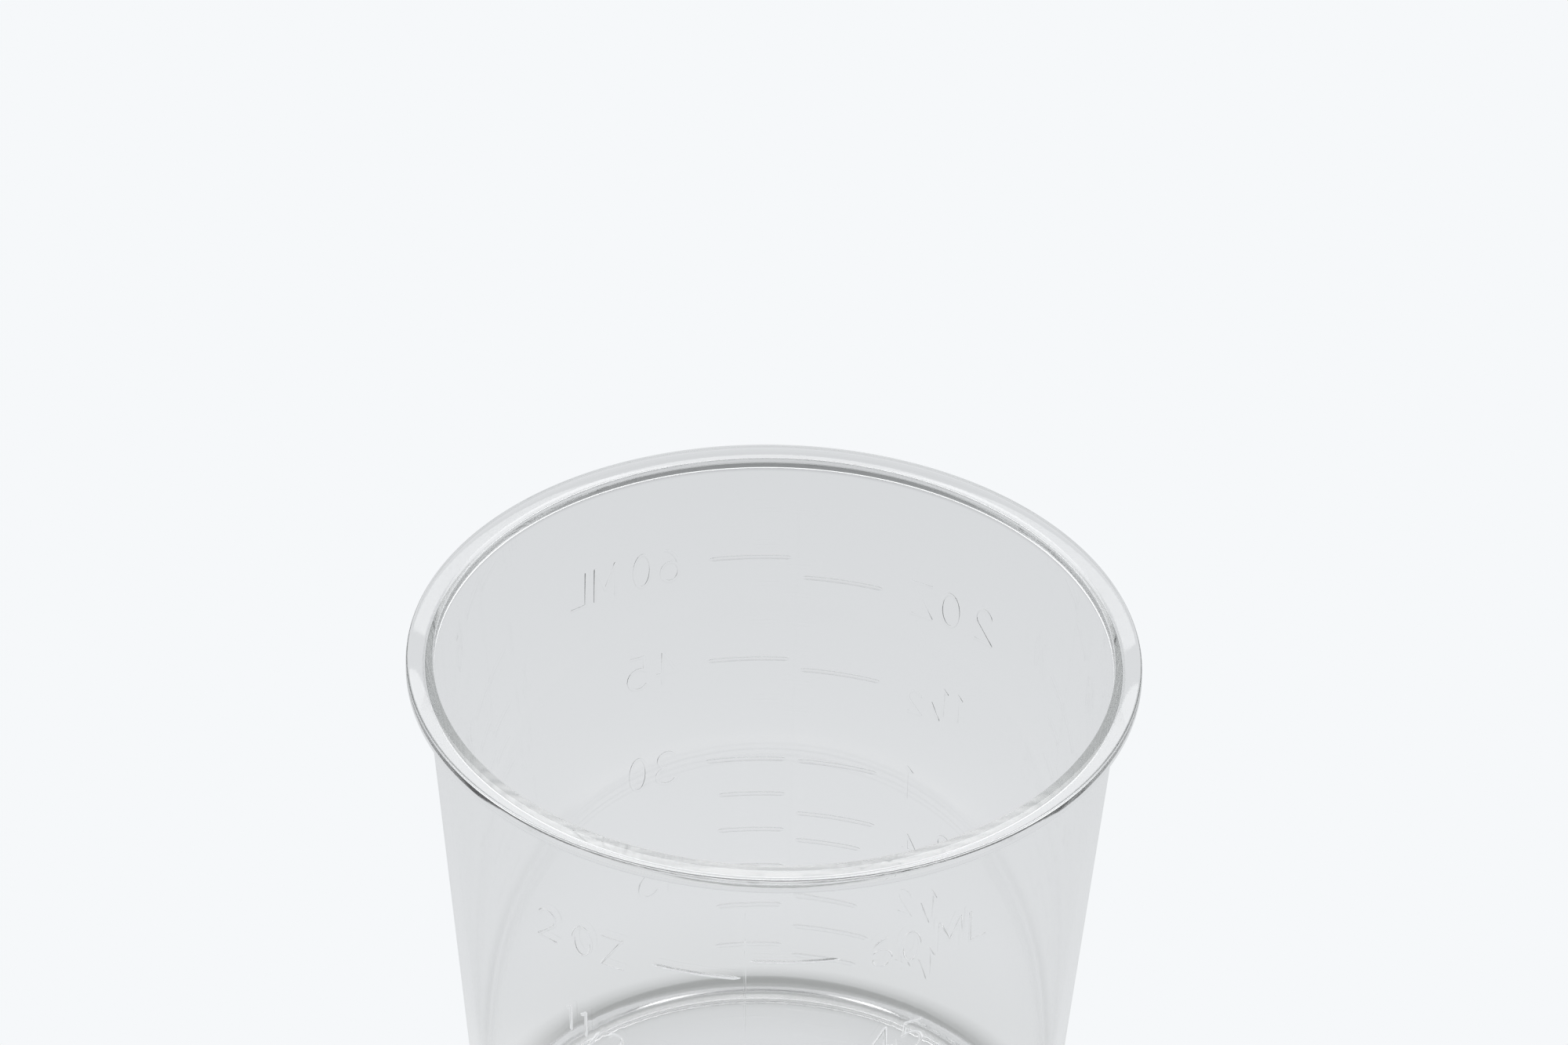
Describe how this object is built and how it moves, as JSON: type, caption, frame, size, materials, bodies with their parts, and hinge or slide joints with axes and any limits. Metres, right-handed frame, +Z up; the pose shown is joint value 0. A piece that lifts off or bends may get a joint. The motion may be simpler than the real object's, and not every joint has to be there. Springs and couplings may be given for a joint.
{
  "type": "graduated sampling cup",
  "caption": "Clear tapered cup with a turned-out rim bead, a flat floor on a foot ring, and raised millilitre and ounce scales on two sides.",
  "frame": {"origin": "centre of the foot ring, on the surface that the cup stands on", "axes": "+Z up along the cup's axis to its mouth; the front scale faces -Y and the back scale faces +Y"},
  "size_m": [0.054, 0.054, 0.049],
  "materials": {
    "clear_polystyrene": "gloss, as moulded in a polished mould, water clear"
  },
  "bodies": {
    "root": {"back_ml_line_10": "clear_polystyrene", "back_ml_line_15": "clear_polystyrene", "back_ml_line_20": "clear_polystyrene", "back_ml_line_25": "clear_polystyrene", "back_ml_line_30": "clear_polystyrene", "back_ml_line_45": "clear_polystyrene", "back_ml_line_5": "clear_polystyrene", "back_ml_line_60": "clear_polystyrene", "back_oz_line_1": "clear_polystyrene", "back_oz_line_1-2": "clear_polystyrene", "back_oz_line_1-4": "clear_polystyrene", "back_oz_line_1-8": "clear_polystyrene", "back_oz_line_1_1-2": "clear_polystyrene", "back_oz_line_2": "clear_polystyrene", "back_oz_line_3-4": "clear_polystyrene", "back_oz_line_3-8": "clear_polystyrene", "back_oz_line_5-8": "clear_polystyrene", "back_scale_line": "clear_polystyrene", "floor_disc": "clear_polystyrene", "foot_ring": "clear_polystyrene", "front_ml_line_10": "clear_polystyrene", "front_ml_line_15": "clear_polystyrene", "front_ml_line_20": "clear_polystyrene", "front_ml_line_25": "clear_polystyrene", "front_ml_line_30": "clear_polystyrene", "front_ml_line_45": "clear_polystyrene", "front_ml_line_5": "clear_polystyrene", "front_ml_line_60": "clear_polystyrene", "front_oz_line_1": "clear_polystyrene", "front_oz_line_1-2": "clear_polystyrene", "front_oz_line_1-4": "clear_polystyrene", "front_oz_line_1-8": "clear_polystyrene", "front_oz_line_1_1-2": "clear_polystyrene", "front_oz_line_2": "clear_polystyrene", "front_oz_line_3-4": "clear_polystyrene", "front_oz_line_3-8": "clear_polystyrene", "front_oz_line_5-8": "clear_polystyrene", "front_scale_line": "clear_polystyrene", "rim_bead": "clear_polystyrene", "side_wall": "clear_polystyrene", "wall_corner": "clear_polystyrene"}
  },
  "joints": []
}
